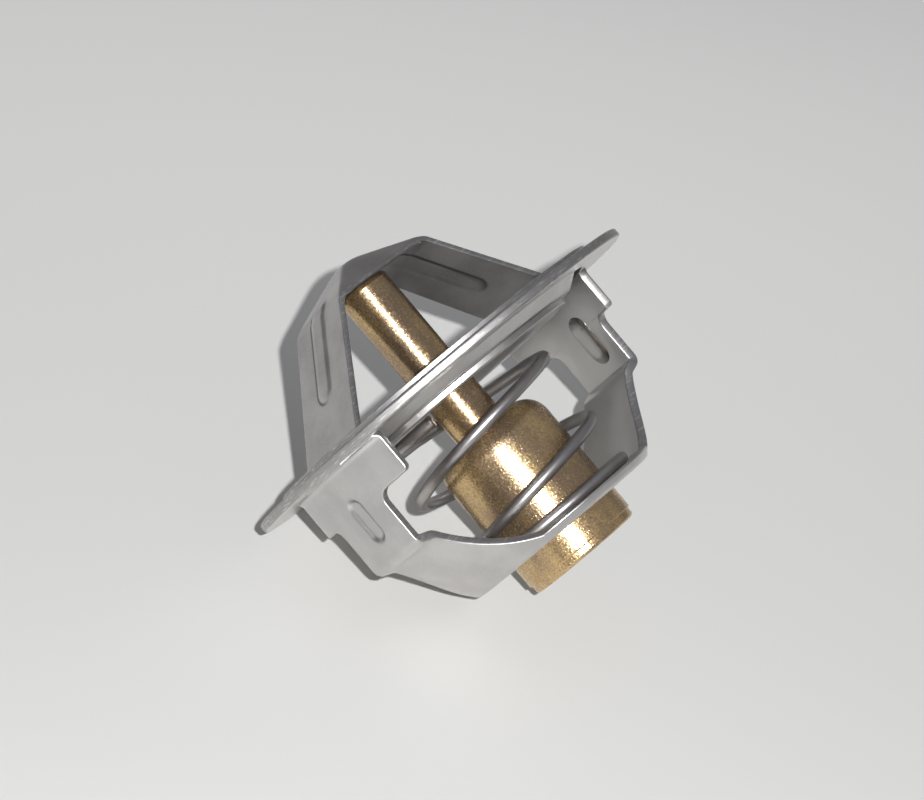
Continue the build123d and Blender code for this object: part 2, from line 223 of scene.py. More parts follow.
class StageSizes(bpy.types.PropertyGroup):
    """Camera, table and lamps."""
    distance: length("Camera Distance", 380.0, "From the valve to the lens")
    shift_right: length("Aim Right", -0.51, "How far right of the valve axis the camera aims")
    shift_up: length("Aim Up", 3.26, "How far up the camera aims")
    aim_depth: length("Aim Depth", 0.6, "Depth in the flange from which the aim is measured")
    lens: number("Lens", 126.7, "Focal length on a 36 mm wide sensor", unit="CAMERA")
    azimuth: degrees("Azimuth", -43.3, "Camera's direction round the valve axis")
    elevation: degrees("Elevation", -1.85, "Camera's angle above the flange")
    roll: degrees("Roll", 40.1, "Turn of the camera about its view")
    table_tilt: degrees("Table Tilt", 30, "Angle between the valve axis and the table")
    table_turn: degrees("Table Turn", 48, "How far round the valve has rolled from the camera")
    table_gap: length("Table Gap", 24.0, "From the valve's origin to the table")
    lamp_right: length("Lamp Right", 21.0, "How far right of the lens the small lamp stands")
    lamp_up: length("Lamp Up", 11.5, "How far above the lens the small lamp stands")
    lamp_size: length("Lamp Size", 6.0, "Width of the small lamp")
    lamp_power: number("Lamp", 1.70, "Power of the small lamp", unit="POWER")
    room: number("Room", 0.19, "Brightness of the room")
    backdrop: number("Backdrop", 0.62, "Brightness of the room behind the table")
    window: number("Ceiling", 0.15, "Brightness of the pale ceiling that the metal shows")
    rings: IntProperty(name="Round Steps", description="Steps round a turned piece", default=192)


# ---- surfaces ---------------------------------------------------------------------------------

def unit(vectors):
    """Each vector divided by its own length."""
    return vectors / np.linalg.norm(vectors, axis=-1, keepdims=True)


def offset(path, distance):
    """The path moved sideways to its left, each corner along its bisector.

    A corner between directions a and b moves by distance * (left of a + left of b) / (1 + a.b).
    """
    path = np.asarray(path, float)
    runs = unit(np.diff(path, axis=0))
    before = np.vstack([runs[:1], runs])
    after = np.vstack([runs, runs[-1:]])
    left = (before + after)[:, ::-1] * (-1, 1)
    return path + distance * left / (1 + (before * after).sum(-1, keepdims=True))


def rounded(corners, radii, steps=8):
    """Path through the corners, with an arc in place of each corner between the two ends.

    An arc of radius r leaves its sides at r / tan(half angle) from the corner, and swings about
    a centre on the bisector at r / sin(half angle). A guard point lies just outside each end.
    """
    corners = np.asarray(corners, float)
    radii = np.broadcast_to(np.asarray(radii, float), len(corners) - 2)[:, None, None]
    middle = corners[1:-1, None]
    back = unit(corners[:-2, None] - middle)
    on = unit(corners[2:, None] - middle)
    half = np.arccos(np.clip((back * on).sum(-1, keepdims=True), -1, 1)) / 2
    centre = middle + unit(back + on) * radii / np.sin(half)
    start = middle + back * radii / np.tan(half) - centre
    end = middle + on * radii / np.tan(half) - centre
    swing = math.pi - 2 * half
    part = np.linspace(0, 1, steps)[None, :, None]
    turned_by = np.sin((1 - part) * swing) * start + np.sin(part * swing) * end
    arcs = centre + turned_by / np.sin(swing)
    arcs = np.concatenate([arcs[:, :1] + back * TINY, arcs, arcs[:, -1:] + on * TINY], axis=1)
    return np.vstack([corners[:1], arcs.reshape(-1, 2), corners[-1:]])


def closed_outline(corners, radii, steps=8):
    """Closed outline through the corners, each turned into an arc of its radius."""
    corners = np.asarray(corners, float)
    ring = np.vstack([corners[-1:], corners, corners[:1]])
    return rounded(ring, radii, steps)[1:-1]


def sheet_outline(path, thickness, inside_radius, edge_round):
    """Section of a bent sheet: one face through the path, the other offset to its left.

    The face on the inside of a bend has the inside radius, the other that plus the thickness.
    """
    path = np.asarray(path, float)
    runs = np.diff(path, axis=0)
    turn = runs[:-1, 0] * runs[1:, 1] - runs[:-1, 1] * runs[1:, 0]
    outside_radius = inside_radius + abs(thickness)
    face = np.where(turn * thickness > 0, outside_radius, inside_radius)
    back = np.where(turn * thickness > 0, inside_radius, outside_radius)
    corners = np.vstack([path, offset(path, thickness)[::-1]])
    radii = np.concatenate([[edge_round], face, [edge_round, edge_round], back[::-1], [edge_round]])
    return closed_outline(corners, radii)


def grid_faces(rows, columns, close_rows=False, close_columns=False):
    """Four-sided faces between neighbouring points of a grid of points stored row by row."""
    index = np.arange(rows * columns).reshape(rows, columns)
    if close_rows:
        index = np.vstack([index, index[:1]])
    if close_columns:
        index = np.hstack([index, index[:, :1]])
    corners = [index[:-1, :-1], index[:-1, 1:], index[1:, 1:], index[1:, :-1]]
    return np.stack(corners, axis=-1).reshape(-1, 4)


def capped_faces(rows, loop):
    """Faces of a tube made of closed loops, with each end closed by strips across its loop."""
    near = np.arange(loop // 2 - 1)
    cap = np.stack([near, near + 1, loop - 2 - near, loop - 1 - near], axis=-1)
    return np.vstack([grid_faces(rows, loop, False, True), cap, cap + (rows - 1) * loop])


def turned(outline, closed, steps):
    """Surface of revolution: x = radius cos(angle), y = radius sin(angle), z = height."""
    angle = np.linspace(0, 2 * math.pi, steps, endpoint=False)[:, None]
    radius, height = np.asarray(outline).T
    points = np.stack([radius * np.cos(angle), radius * np.sin(angle), height + 0 * angle], axis=-1)
    return points.reshape(-1, 3), grid_faces(steps, len(outline), True, closed)


def turned_about(points, angle):
    """The points turned about the valve axis by the angle."""
    turn = np.array([[math.cos(angle), -math.sin(angle), 0], [math.sin(angle), math.cos(angle), 0],
                     [0, 0, 1]])
    return points @ turn.T


def joined(shells):
    """Several (points, faces, marks) shells as one."""
    counts = np.cumsum([0] + [len(points) for points, _, _ in shells[:-1]])
    faces = [shell[1] + start for shell, start in zip(shells, counts)]
    return (np.vstack([shell[0] for shell in shells]), np.vstack(faces),
            np.concatenate([shell[2] for shell in shells]))


def ring_shell(outline, steps, closed=True, rim=math.inf):
    """A turned shell, on which only what lies beyond the rim's radius is marked as a cut edge."""
    points, faces = turned(outline, closed, steps)
    marks = np.zeros((len(points), len(MARKS)))
    marks[:, 0] = np.hypot(points[:, 0], points[:, 1]) > rim
    return points, faces, marks


def plate(surface, crease_shade, along, half, sheet, edge_round, columns, inward):
    """Closed shell of a sheet that is cut to an outline, with its cut edges rounded.

    surface(s, y) gives a point of the sheet's outer face, and the second function the share of
    painted shade along its beads. Each row of the shell is a loop: across the outer face at
    distance s along the sheet from y = half to -half, round the left edge, back across the inner
    face, and round the right edge. The outline is first moved inwards by the rounding, along its
    own normal, and a quarter circle then carries it out and down. The inner face lies one sheet
    thickness along the surface's normal.
    """
    slope_s, slope_y = np.gradient(along), np.gradient(half)
    size = np.hypot(slope_s, slope_y)
    in_s, in_y = (slope_y / size)[:, None], (-slope_s / size)[:, None]
    quarter = np.linspace(0, math.pi / 2, 4)
    out = edge_round * np.cos(quarter)
    deep = edge_round * (1 - np.sin(quarter))
    across = np.linspace(1, -1, columns)[1:-1]
    ones, none = np.ones(len(quarter)), np.zeros(len(across))
    side = np.concatenate([ones, across, -ones, -ones, -across, ones])
    reach = np.concatenate([out, none, out[::-1], out, none, out[::-1]])
    depth = np.concatenate([deep, none, deep[::-1],
                            sheet - deep, none + sheet, (sheet - deep)[::-1]])
    s = along[:, None] + in_s * (edge_round - reach)
    y = side * (half[:, None] + in_y * (edge_round - reach))
    points = surface(s, y)
    by_s = surface(s + STEP, y) - surface(s - STEP, y)
    by_y = surface(s, y + STEP) - surface(s, y - STEP)
    points = points + unit(np.cross(by_s, by_y)) * inward * depth[:, None]
    marks = np.stack([reach / edge_round + 0 * s, depth / sheet + 0 * s, crease_shade(s, y)], axis=-1)
    return points.reshape(-1, 3), capped_faces(*s.shape), marks.reshape(-1, len(MARKS))


def from_bead_edge(s, y, start, end, half_width):
    """How far inside a bead's edge, as a share of its half width.

    The bead runs along the line y = 0 from start to end, with round ends.
    """
    return 1 - np.hypot(s - np.clip(s, start, end), y) / half_width


def pressed(s, y, bead, height):
    """Height of a bead, level over its middle.

    Its flank takes up 0.55 of the half width and rises as 3 r squared - 2 r cubed, where r goes
    from 0 at the edge to 1 at the top of the flank.
    """
    rise = np.clip(from_bead_edge(s, y, *bead) / 0.55, 0, 1)
    return height * rise ** 2 * (3 - 2 * rise)


def bead_flank_shade(s, y, bead, side, middle, spread):
    """Share of painted shade on one flank of a bead, in a line that fades round its ends.

    The line is exp(-((r - middle) / spread) squared), where r is the distance from the bead's edge
    as a share of its half width. The side is 1 for the flank of positive y and -1 for the other.
    """
    flank = np.clip(0.5 + side * y / bead[-1], 0, 1)
    return np.exp(-((from_bead_edge(s, y, *bead) - middle) / spread) ** 2) * flank


def path_reader(path):
    """Functions that read a path's points and find distances along it."""
    distance = np.concatenate([[0], np.cumsum(np.linalg.norm(np.diff(path, axis=0), axis=1))])

    def place(s):
        return np.interp(s, distance, path[:, 0]), np.interp(s, distance, path[:, 1])

    return place, distance


# ---- meshes and objects -----------------------------------------------------------------------

def piece(name, shell, material, body, node):
    """A smooth mesh object of a shell, which stands for one solid of the frame."""
    points, faces, marks = shell
    mesh = bpy.data.meshes.new(name)
    mesh.vertices.add(len(points))
    mesh.vertices.foreach_set("co", np.ascontiguousarray(points, np.float32).ravel())
    mesh.loops.add(faces.size)
    mesh.loops.foreach_set("vertex_index", np.ascontiguousarray(faces, np.int32).ravel())
    mesh.polygons.add(len(faces))
    mesh.polygons.foreach_set("loop_start", np.arange(0, faces.size, 4, dtype=np.int32))
    mesh.update(calc_edges=True)
    for mark, values in zip(MARKS, marks.T):
        written = mesh.attributes.new(mark, "FLOAT", "POINT")
        written.data.foreach_set("value", np.ascontiguousarray(values, np.float32))
    work = bmesh.new()
    work.from_mesh(mesh)
    bmesh.ops.remove_doubles(work, verts=work.verts, dist=WELD)
    bmesh.ops.recalc_face_normals(work, faces=work.faces)
    work.to_mesh(mesh)
    work.free()
    mesh.polygons.foreach_set("use_smooth", np.ones(len(mesh.polygons), bool))
    mesh.update()
    mesh.materials.append(material)
    made = bpy.data.objects.new(name, mesh)
    bpy.context.scene.collection.objects.link(made)
    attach(made, body)
    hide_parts(node)
    return made


# ---- finishes ---------------------------------------------------------------------------------

def add(tree, kind, **settings):
    """A node of a kind, with its settings and the values of its inputs."""
    made = tree.nodes.new(kind)
    values = settings.pop("values", {})
    for key, value in settings.items():
        setattr(made, key, value)
    for key, value in values.items():
        made.inputs[key].default_value = value
    return made


def noise(tree, scale, detail, squeeze=(1, 1, 1)):
    """Noise of so many features a metre on the object's own coordinates.

    The squeeze makes it that much finer along each axis.
    """
    place = add(tree, "ShaderNodeTexCoord")
    drawn = add(tree, "ShaderNodeMapping", values={"Scale": squeeze})
    made = add(tree, "ShaderNodeTexNoise", values={"Scale": scale, "Detail": detail})
    tree.links.new(place.outputs["Object"], drawn.inputs["Vector"])
    tree.links.new(drawn.outputs["Vector"], made.inputs["Vector"])
    return made.outputs["Fac"]


def feed(tree, sockets, values):
    """Gives each socket its value: a link from another socket, or a plain number or colour."""
    for socket, value in zip(sockets, values):
        if isinstance(value, bpy.types.NodeSocket):
            tree.links.new(value, socket)
        else:
            socket.default_value = value


def maths(tree, operation, first, second):
    """One step of arithmetic between sockets or plain numbers."""
    made = add(tree, "ShaderNodeMath", operation=operation)
    feed(tree, made.inputs, (first, second))
    return made.outputs[0]


def ramp(tree, source, low, high):
    """The source as a mask that is 0 at low and 1 at high."""
    made = add(tree, "ShaderNodeMapRange", interpolation_type="SMOOTHSTEP",
               values={"From Min": low, "From Max": high})
    tree.links.new(source, made.inputs["Value"])
    return made.outputs["Result"]


def blend(tree, mask, first, second):
    """Colour between two colours by a mask."""
    made = add(tree, "ShaderNodeMix", data_type="RGBA")
    feed(tree, (made.inputs["Factor"], made.inputs[6], made.inputs[7]), (mask, first, second))
    return made.outputs[2]


def plus(tree, value, mask, amount):
    """The value plus so much of the mask."""
    return maths(tree, "ADD", value, maths(tree, "MULTIPLY", mask, amount))


def laid_over(tree, tone, mask, amount, other):
    """The tone with another colour laid over it by so much of the mask."""
    return blend(tree, maths(tree, "MULTIPLY", mask, amount), tone, other)


def mark(tree, name):
    """One of the marks that every point of a piece carries."""
    return add(tree, "ShaderNodeAttribute", attribute_name=name).outputs["Fac"]


def distance_along(tree, coordinate, direction):
    """How far a point lies along a direction."""
    place = add(tree, "ShaderNodeTexCoord")
    made = add(tree, "ShaderNodeVectorMath", operation="DOT_PRODUCT")
    made.inputs[1].default_value = direction
    tree.links.new(place.outputs[coordinate], made.inputs[0])
    return made.outputs["Value"]


def put_out(tree, result, tone, rough, height):
    """Links a finish's three values to its outputs."""
    for label, socket in (("Color", tone), ("Roughness", rough), ("Height", height)):
        tree.links.new(socket, result[label])
    return tree


def finish_group(name, inputs):
    """An empty shared finish with its inputs, and the three values that it puts out."""
    tree = bpy.data.node_groups.new(name, "ShaderNodeTree")
    for label, kind, value in inputs:
        socket = tree.interface.new_socket(label, in_out="INPUT", socket_type=kind)
        socket.default_value = value
    for label, kind in (("Color", "NodeSocketColor"), ("Roughness", "NodeSocketFloat"),
                        ("Height", "NodeSocketFloat")):
        tree.interface.new_socket(label, in_out="OUTPUT", socket_type=kind)
    return tree, add(tree, "NodeGroupInput").outputs, add(tree, "NodeGroupOutput").inputs


def sheet_group():
    """Satin sheet: rolling grain, clouded tone, bright flecks and cut edges with painted glints."""
    grey = (0.6, 0.6, 0.6, 1)
    tree, given, result = finish_group("Sheet Finish", [
        ("Tone", "NodeSocketColor", grey), ("Stain", "NodeSocketColor", grey),
        ("Roughness", "NodeSocketFloat", 0.3), ("Flecks", "NodeSocketFloat", 0.5),
        ("Inside", "NodeSocketFloat", 0.0)])
    cloud = ramp(tree, noise(tree, 170, 3), 0.35, 0.68)
    grain = noise(tree, 1, 3, squeeze=(500, 9000, 2500))
    fleck_glint = ramp(tree, noise(tree, 5200, 1), 0.56, 0.72)
    scuff = ramp(tree, noise(tree, 1, 2, squeeze=(4000, 300, 900)), 0.62, 0.72)
    edge_glint = ramp(tree, noise(tree, 1, 3, squeeze=(700, 700, 5600)), 0.50, 0.72)
    fleck_glint = maths(tree, "MULTIPLY", fleck_glint, given["Flecks"])
    edge, inner, crease_shade = (mark(tree, name) for name in MARKS)
    cut = blend(tree, edge_glint, (0.38, 0.37, 0.37, 1), (0.66, 0.65, 0.64, 1))
    tone = blend(tree, cloud, given["Stain"], given["Tone"])
    # Painted light: the inner faces are laid over with a paler tone.
    tone = laid_over(tree, tone, inner, given["Inside"], (0.86, 0.85, 0.84, 1))
    # Painted glints: small flecks laid over with a paler tone; they also raise the bump.
    tone = laid_over(tree, tone, fleck_glint, 0.35, (0.80, 0.79, 0.77, 1))
    # Cut edges take a darker tone, with painted glints where the noise turns them pale.
    tone = laid_over(tree, tone, edge, 0.85, cut)
    # Painted shade: a dark line along one flank of each bead.
    tone = laid_over(tree, tone, crease_shade, 0.9, (0.07, 0.065, 0.06, 1))
    rough = given["Roughness"]
    for mask, amount in ((grain, 0.10), (cloud, 0.06), (scuff, 0.10), (edge, 0.15)):
        rough = plus(tree, rough, mask, amount)
    height = plus(tree, maths(tree, "MULTIPLY", grain, 0.6), fleck_glint, 0.9)
    return put_out(tree, result, tone, rough, height)


def brass_group():
    """Turned brass: tool rings, a grainy skin that glitters, and tarnish in patches."""
    tree, given, result = finish_group("Brass Finish", [
        ("Tone", "NodeSocketColor", (0.7, 0.5, 0.25, 1)),
        ("Tarnish", "NodeSocketColor", (0.4, 0.3, 0.15, 1)),
        ("Roughness", "NodeSocketFloat", 0.3), ("Rings", "NodeSocketFloat", 0.5)])
    patch = ramp(tree, noise(tree, 260, 3, squeeze=(1, 1, 0.5)), 0.36, 0.66)
    grit = noise(tree, 3600, 2)
    glint = ramp(tree, noise(tree, 4400, 1), 0.56, 0.70)
    speck = ramp(tree, noise(tree, 3900, 2), 0.46, 0.62)
    spot = ramp(tree, noise(tree, 1500, 3), 0.58, 0.72)
    ring = noise(tree, 1, 2, squeeze=(60, 60, 5200))
    tone = blend(tree, patch, given["Tarnish"], given["Tone"])
    tone = laid_over(tree, tone, spot, 0.45, given["Tarnish"])
    tone = laid_over(tree, tone, speck, 0.75, given["Tarnish"])
    tone = laid_over(tree, tone, glint, 0.35, (0.95, 0.76, 0.46, 1))
    rough = plus(tree, plus(tree, given["Roughness"], grit, 0.34), spot, 0.12)
    height = plus(tree, plus(tree, grit, glint, 0.3), ring, given["Rings"])
    return put_out(tree, result, tone, rough, height)


def plain_group():
    """Moulded or poured stuff: a faint cloud in the tone and a fine grain."""
    tree, given, result = finish_group("Plain Finish", [
        ("Tone", "NodeSocketColor", (0.5, 0.5, 0.5, 1)), ("Roughness", "NodeSocketFloat", 0.5)])
    cloud = noise(tree, 420, 3)
    grain = noise(tree, 4200, 2)
    tone = laid_over(tree, given["Tone"], cloud, 0.3, (0.05, 0.05, 0.05, 1))
    return put_out(tree, result, tone, plus(tree, given["Roughness"], grain, 0.2), grain)


def finish(name, group_name, values, metal, bump, depth=0.01):
    """A material: a shared finish with its own values, a bump of some millimetres, a shader."""
    makers = {"Sheet Finish": sheet_group, "Brass Finish": brass_group, "Plain Finish": plain_group}
    material = bpy.data.materials.new(name)
    material.use_nodes = True
    tree = material.node_tree
    shader = tree.nodes["Principled BSDF"]
    shader.inputs["Metallic"].default_value = metal
    group = add(tree, "ShaderNodeGroup",
                node_tree=bpy.data.node_groups.get(group_name) or makers[group_name]())
    for key, value in values.items():
        group.inputs[key].default_value = value
    relief = add(tree, "ShaderNodeBump", values={"Strength": bump, "Distance": depth * MM})
    tree.links.new(group.outputs["Color"], shader.inputs["Base Color"])
    tree.links.new(group.outputs["Roughness"], shader.inputs["Roughness"])
    tree.links.new(group.outputs["Height"], relief.inputs["Height"])
    tree.links.new(relief.outputs["Normal"], shader.inputs["Normal"])
    return material


def steel(name, tone, stain, roughness, flecks=0.6, inside=0.0):
    """Satin stainless sheet or wire; inside gives the inner faces a paler tone, painted light."""
    values = {"Tone": (*tone, 1), "Stain": (*stain, 1), "Roughness": roughness, "Flecks": flecks,
              "Inside": inside}
    return finish(name, "Sheet Finish", values, metal=1.0, bump=0.35)


# ---- operators --------------------------------------------------------------------------------

class VALVE_OT_flange_frame(bpy.types.Operator):
    """Drawn flange, two legs and the bottom ring"""
    bl_idname = "valve.flange_frame"
    bl_label = "Flange and Legs"

    def execute(self, context):
        sizes = context.scene.valve_frame
        steps = context.scene.valve_stage.rings
        knee = sizes.leg_radius - sizes.knee_step
        corners = [(sizes.leg_radius + 2 * sizes.sheet, -sizes.sheet),
                   (sizes.leg_radius, -sizes.sheet), (sizes.leg_radius, -sizes.knee_depth),
                   (knee, -sizes.knee_depth - sizes.knee_drop),
                   (sizes.bottom_radius, -sizes.bottom_depth),
                   (sizes.bore_radius, -sizes.bottom_depth)]
        wide = sizes.bend + sizes.sheet
        knee_outside = sizes.knee_bend + sizes.sheet
        path = rounded(corners, [sizes.bend, knee_outside, sizes.bend, wide], steps=16)
        place, distance = path_reader(path)

        def at_depth(depth):
            return np.interp(depth, -path[:, 1], distance)

        bead = (at_depth(sizes.bead_top + sizes.bead_half_width),
                at_depth(sizes.bead_bottom - sizes.bead_half_width), sizes.bead_half_width)

        along, half = self.outline(sizes, place, at_depth)
        shells = []
        for turn, shift in ((RIGHT, -sizes.bead_shift), (LEFT, sizes.bead_shift)):

            def surface(s, y, shift=shift):
                """Outer face of a leg: x = root of (radius squared - y squared), less the bead."""
                radius, height = place(s)
                inwards = pressed(s, y - shift, bead, sizes.bead_height)
                return np.stack([np.sqrt(radius ** 2 - y ** 2) - inwards, y, height], axis=-1)

            def crease_shade(s, y, shift=shift):
                """Painted shade on the flank that lies away from the middle of the leg."""
                return bead_flank_shade(s, y - shift, bead, np.sign(shift), middle=0.28, spread=0.2)

            points, faces, marks = plate(surface, crease_shade, along, half, sizes.sheet,
                                         sizes.edge_round, LEG_COLUMNS, inward=-1)
            shells.append((turned_about(points, sizes.turn + turn), faces, marks))
        shells.append(ring_shell(self.flange_outline(sizes), steps,
                                 rim=sizes.flange_radius - 0.5 * sizes.rim_round))
        shells.append(ring_shell(self.bottom_outline(sizes), steps))
        finishes = context.scene.valve_finishes
        # The inner faces are made paler as painted light.
        material = steel("Frame Steel", finishes.steel, finishes.steel_stain, 0.26, inside=0.6)
        piece("flange_and_legs", joined(shells), material, "housing", "flange_frame")
        return {"FINISHED"}

    @staticmethod
    def outline(sizes, place, at_depth):
        """Distance along the leg and half width there: neck, wings, narrow part and flare.

        Below the knee the half width grows by r - root of (r squared - fall squared), where r is
        the radius of the flare and fall the height below the middle of the knee.
        """
        slit = sizes.sheet + sizes.slit
        corner, fillet = sizes.wing_corner, sizes.root_fillet
        depths = [np.linspace(sizes.sheet - 2 * TINY, slit, 4),
                  slit + corner * (1 - np.cos(QUARTER)),
                  np.linspace(slit + corner, sizes.wing_depth - corner, 26)[1:-1],
                  sizes.wing_depth - corner * (1 - np.sin(QUARTER)),
                  sizes.wing_depth + TINY + fillet * (1 - np.cos(QUARTER))]
        widths = [np.full(4, sizes.neck_half_width),
                  sizes.wing_half_width - corner * (1 - np.sin(QUARTER)),
                  np.full(24, sizes.wing_half_width),
                  sizes.wing_half_width - corner * (1 - np.cos(QUARTER)),
                  sizes.leg_half_width + fillet * (1 - np.sin(QUARTER))]
        start = at_depth(sizes.wing_depth + TINY + fillet)
        leg_end, flare_end = sizes.bottom_depth - 0.4 * MM, sizes.bottom_depth + 0.1 * MM
        low = np.arange(start, at_depth(leg_end), LEG_ROW)[1:]
        knee = sizes.knee_depth + sizes.knee_drop / 2
        fall = np.maximum(-place(low)[1] - knee, 0)
        flare = sizes.flare * (flare_end - knee)
        narrow = sizes.leg_half_width + flare - np.sqrt(flare ** 2 - fall ** 2)
        along = np.concatenate([at_depth(np.concatenate(depths)), low])
        return along + np.arange(len(along)) * ROW_GAP, np.concatenate(widths + [narrow])

    @staticmethod
    def flange_outline(sizes):
        """Section of the flange down to the slits, a hair thinner where the legs leave it."""
        inner = sizes.leg_radius - sizes.sheet
        lip = (inner + 0.22 * MM, -sizes.sheet)
        throat = (inner + 0.5 * MM, -0.6 * MM)
        mouth = (inner + sizes.bend + sizes.sheet, 0)
        lip_round, throat_round, mouth_round = 0.05 * MM, 0.8 * MM, 1.2 * MM
        return closed_outline([(sizes.flange_radius, 0), (sizes.flange_radius, -sizes.sheet), lip,
                               throat, mouth],
                              [sizes.rim_round, sizes.rim_round, lip_round, throat_round,
                               mouth_round])

    @staticmethod
    def bottom_outline(sizes):
        """Section of the bottom ring with the lip of the sloping wall."""
        run = sizes.leg_radius - sizes.knee_step - sizes.bottom_radius
        slope = run / (sizes.bottom_depth - sizes.knee_depth - sizes.knee_drop)
        spare = 0.1 * MM
        lip = sizes.sheet + spare
        top = -sizes.bottom_depth + lip
        outer = sizes.bottom_radius + slope * lip - TINY
        inner = outer - sizes.sheet * math.hypot(1, slope)
        floor = -sizes.bottom_depth + TINY
        seat = floor + sizes.sheet - TINY
        return closed_outline([(outer, top), (sizes.bottom_radius, floor),
                               (sizes.bore_radius, floor), (sizes.bore_radius, seat),
                               (inner - spare, seat), (inner, top)],
                              [sizes.edge_round, sizes.sheet, sizes.edge_round,
                               sizes.edge_round, TINY, 1.5 * TINY])


class VALVE_OT_upper_arch(bpy.types.Operator):
    """Arch with its pressed roof, beads and base ring"""
    bl_idname = "valve.upper_arch"
    bl_label = "Arch"

    def execute(self, context):
        sizes = context.scene.valve_arch
        top = sizes.sheet - TINY
        strip_end = sizes.ring_outer - sizes.ring_lap
        half_path = [(strip_end, top), (sizes.foot, top), (sizes.shoulder, sizes.height)]
        corners = half_path + [(-x, z) for x, z in reversed(half_path)]
        path = rounded(corners, [sizes.bend, sizes.shoulder_bend, sizes.shoulder_bend, sizes.bend],
                       steps=16)
        place, distance = path_reader(path)
        rows = np.arange(0, distance[-1], ARCH_ROW)
        leg = math.hypot(sizes.foot - sizes.shoulder, sizes.height - sizes.sheet)
        foot = strip_end - sizes.foot
        bead_start = sizes.bead_low + sizes.bead_half_width - sizes.sheet
        bead = (foot + leg * bead_start / (sizes.height - sizes.sheet),
                foot + leg + sizes.bead_reach - sizes.bead_half_width / 2, sizes.bead_half_width)

        def surface(s, y):
            """Outer face: the bent strip, plus the roof, plus the beads along the normal.

            The roof's height is the least of the distances to its four sides, each as a share
            of the way to the tip, with the least taken softly.
            """
            x, z = place(s)
            to_end = (sizes.shoulder - np.abs(x)) / (sizes.shoulder - sizes.roof_tip)
            to_side = (sizes.half_width - np.abs(y)) / (sizes.half_width - sizes.roof_tip)
            least = soft_least(soft_least(to_end, to_side, sizes.roof_soft), 1, sizes.roof_soft)
            z = z + sizes.roof_rise * np.maximum(least, 0)
            out = pressed(np.minimum(s, distance[-1] - s), y, bead, sizes.bead_height)
            on_foot = np.abs(x) > sizes.shoulder
            outwards, upwards = (np.where(on_foot, foot_share, roof_share)
                                 for foot_share, roof_share in zip(FOOT_NORMAL, ROOF_NORMAL))
            return np.stack([x + out * np.sign(x) * outwards, y, z + out * upwards], axis=-1)

        half = np.interp(np.abs(place(rows)[0]), [sizes.shoulder, sizes.foot],
                         [sizes.half_width, sizes.foot_half_width])

        def crease_shade(s, y):
            """Painted shade in the foot of a bead, on opposite sides of the two legs."""
            return bead_flank_shade(np.minimum(s, distance[-1] - s), y, bead, -np.sign(place(s)[0]),
                             middle=0, spread=0.11)

        shells = [plate(surface, crease_shade, rows, half, sizes.sheet, sizes.edge_round, ARCH_COLUMNS,
                        inward=1)]
        ring = closed_outline([(sizes.ring_outer, 0), (sizes.ring_outer, sizes.sheet),
                               (sizes.ring_inner, sizes.sheet), (sizes.ring_inner, 0)],
                              sizes.ring_round)
        shells.append(ring_shell(ring, context.scene.valve_stage.rings,
                                 rim=sizes.ring_outer - 0.5 * sizes.ring_round))
        finishes = context.scene.valve_finishes
        material = steel("Arch Steel", finishes.steel_stain, finishes.roof_stain, 0.24)
        piece("arch", joined(shells), material, "housing", "upper_arch")
        return {"FINISHED"}


def soft_least(first, second, soft):
    """The lesser of two values, with the corner between them rounded."""
    return (first + second - np.sqrt((first - second) ** 2 + soft ** 2)) / 2


class VALVE_OT_seat_and_disc(bpy.types.Operator):
    """Seat ring and the dished disc that closes on it"""
    bl_idname = "valve.seat_and_disc"
    bl_label = "Seat and Disc"

    def execute(self, context):
        sizes = context.scene.valve_parts
        steps = context.scene.valve_stage.rings
        finishes = context.scene.valve_finishes
        seat_path = [(sizes.seat_outer, -sizes.seat_sheet),
                     (sizes.seat_shoulder, -sizes.seat_sheet),
                     (sizes.seat_cone_foot, -sizes.seat_depth),
                     (sizes.seat_port, -sizes.seat_depth)]
        seat = sheet_outline(seat_path, -sizes.seat_sheet, inside_radius=0.3 * MM,
                             edge_round=0.1 * MM)
        under = -sizes.seat_depth - sizes.disc_sheet - TINY
        web = under + sizes.disc_rise
        disc_path = [(sizes.disc_radius, under), (sizes.disc_dish, under),
                     (sizes.disc_dish - sizes.disc_rise, web), (sizes.guide_radius + TINY, web),
                     (sizes.guide_radius + TINY, web + sizes.collar_rise)]
        disc = sheet_outline(disc_path, -sizes.disc_sheet, inside_radius=0.4 * MM,
                             edge_round=0.16 * MM)
        piece("seat_ring", ring_shell(seat, steps),
              steel("Seat Steel", finishes.steel, finishes.steel_stain, 0.34), "housing",
              "valve_seat")
        piece("dished_disc", ring_shell(disc, steps),
              steel("Disc Steel", finishes.steel, finishes.steel_stain, 0.28), "valve",
              "valve_disc")
        return {"FINISHED"}


